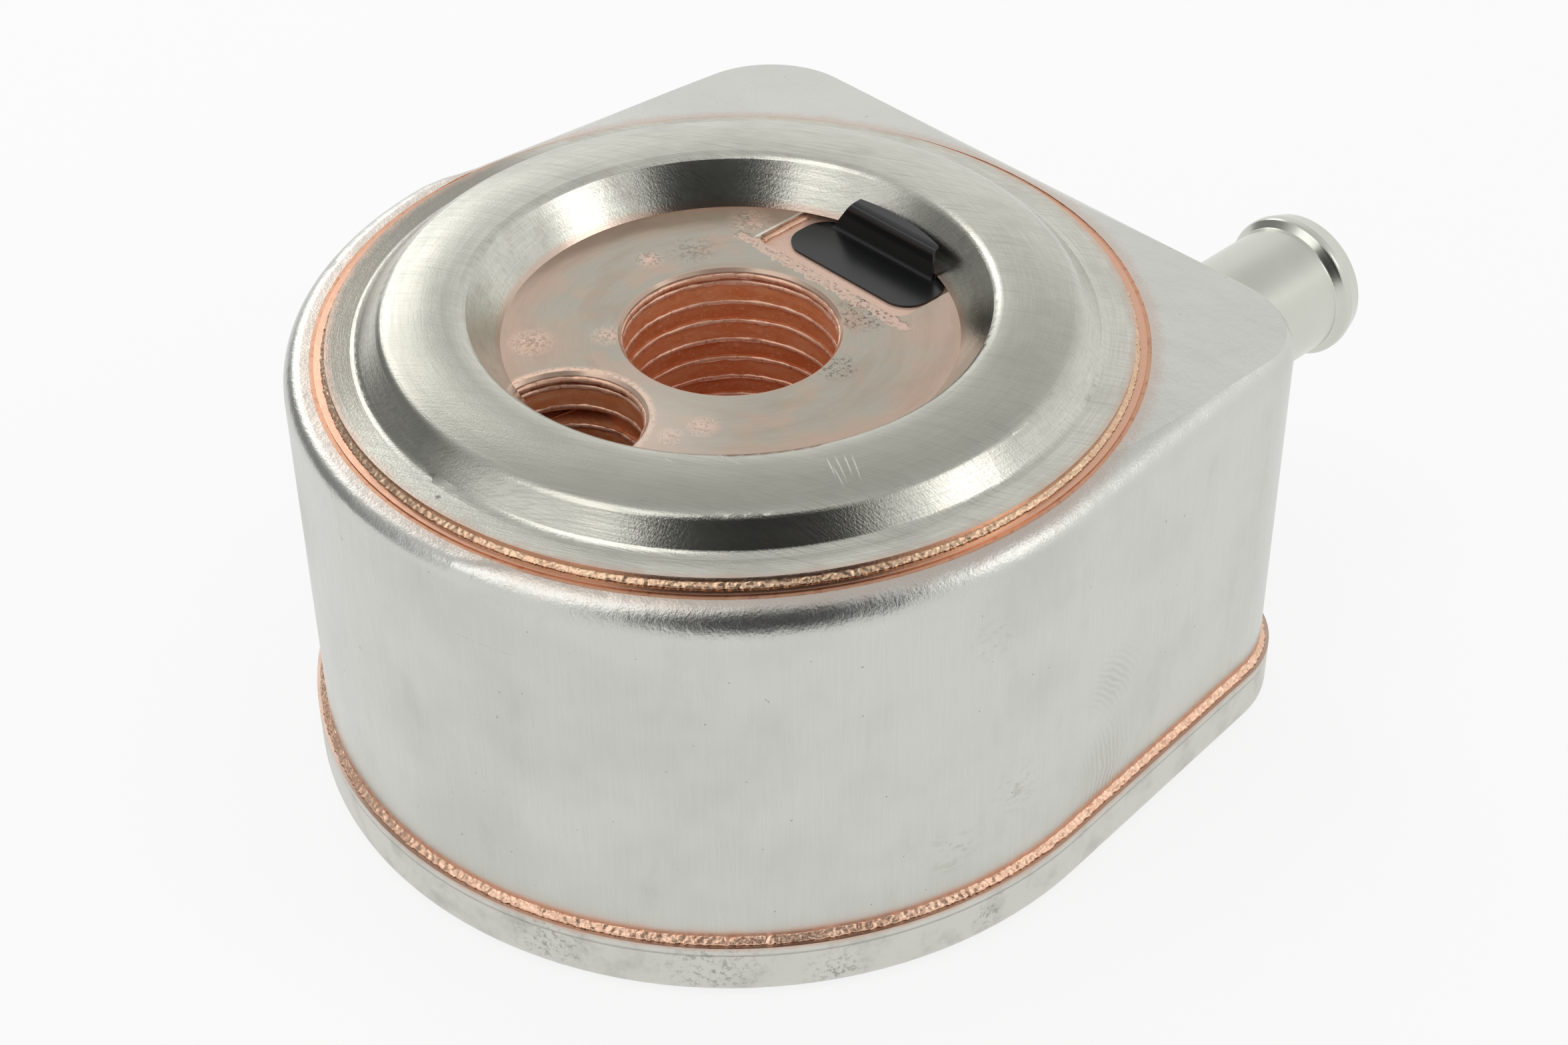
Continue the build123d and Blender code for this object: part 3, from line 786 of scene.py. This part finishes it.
def window_bead(name, thickness, size, depth):
    """Uneven fillet of braze along the foot of the window's cut edge."""
    bpy.ops.mesh.primitive_plane_add(size=MM, location=(0, 0, 0))
    piece = bpy.context.object
    piece.name = name
    piece.dimensions = (2 * WINDOW_HALF * MM, (WINDOW_FAR - WINDOW_NEAR) * MM, 0)
    piece.location = (0, (WINDOW_FAR + WINDOW_NEAR) / 2 * MM, LAND_Z * MM)
    bpy.ops.object.transform_apply(location=True, rotation=True, scale=True)
    bpy.ops.object.mode_set(mode="EDIT")
    bpy.ops.mesh.select_all(action="SELECT")
    bpy.ops.mesh.bevel(offset=WINDOW_CORNER * MM, segments=5, affect="VERTICES")
    bpy.ops.mesh.select_all(action="SELECT")
    bpy.ops.mesh.delete(type="ONLY_FACE")
    bpy.ops.mesh.select_all(action="SELECT")
    bpy.ops.mesh.subdivide(number_cuts=23)
    bpy.ops.object.mode_set(mode="OBJECT")
    bpy.ops.object.convert(target="CURVE")
    piece.data.bevel_depth = thickness * MM
    piece.data.bevel_resolution = 2
    bpy.ops.object.convert(target="MESH")
    bpy.ops.object.mode_set(mode="EDIT")
    bpy.ops.mesh.select_all(action="SELECT")
    bpy.ops.mesh.remove_doubles(threshold=0.000002)
    bpy.ops.mesh.normals_make_consistent(inside=False)
    bpy.ops.object.mode_set(mode="OBJECT")
    return roughen(piece, size, depth)


def rough_copy(node, name, shrink, grid, size, depth):
    """Copy of a braze node, drawn in a little and lowered, closed to a fine mesh and roughened."""
    piece = copy_of(nodes_of_part[node])
    piece.name = name
    only(piece)
    bpy.ops.object.parent_clear(type="CLEAR_KEEP_TRANSFORM")
    bpy.ops.object.mode_set(mode="EDIT")
    bpy.ops.mesh.select_all(action="SELECT")
    bpy.ops.mesh.remove_doubles(threshold=0.00001)
    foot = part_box(node)[0][2]
    bpy.ops.transform.resize(value=(shrink, shrink, 0.80), center_override=(0, 0, foot))
    bpy.ops.object.mode_set(mode="OBJECT")
    mould = piece.modifiers.new("grid", "REMESH")
    mould.mode = "VOXEL"
    mould.voxel_size = grid * MM
    bpy.ops.object.modifier_apply(modifier=mould.name)
    return roughen(piece, size, depth, middle=0.42)


def stack_seams(lowest, highest):
    """Heights of the joints between the plates of the stack."""
    seams = []
    height = PAN_SHEET + BAND
    while height < highest:
        if height > lowest:
            seams.append(height)
        height += BAND
    return seams


def add_braze(finishes):
    """Every piece of braze that stands proud of the plates."""
    bright = copper_finish(
        "bright braze", 0.5, 0.03, linear(244, 206, 182), linear(226, 172, 142), metal=0.5
    )
    top_seam = STACK_TOP + 0.05
    for name, hole, heights, thickness, rise, size, depth in (
        ("bore_beads", BORE, stack_seams(0, STACK_TOP) + [top_seam], 0.34, 0.20, 0.8, 0.42),
        ("bore_plate_bead", BORE, [LAND_Z + 0.05], 0.40, 0.26, 0.9, 0.4),
        ("outlet_beads", OUTLET, stack_seams(24, STACK_TOP) + [top_seam], 0.32, 0.18, 0.8, 0.4),
        ("outlet_plate_bead", OUTLET, [LAND_Z + 0.1], 0.42, 0.3, 0.9, 0.4),
        ("inlet_beads", INLET, stack_seams(0, 30), 0.32, 0.18, 0.8, 0.4),
    ):
        settle(beads(name, hole, heights, thickness, rise, size, depth), bright)
    settle(window_bead("window_bead", 0.5, 0.8, 0.35), bright)
    rope = rough_copy("rim_braze", "rim_rope", 0.9940, 0.18, 0.6, 0.40)
    settle(rope, finishes["rim_copper"], "rim_braze")
    crumbs = rough_copy("seat_braze", "seat_crumbs", 0.9922, 0.16, 0.45, 0.30)
    settle(crumbs, finishes["seat_copper"], "seat_braze")


bpy.context.scene.view_settings.view_transform = "Standard"
camera = place_camera()
light_world()
lay_floor()
hang_dark_card(camera)
for lamp in LAMPS:
    soft_box(*lamp)
add_braze(dress_nodes())
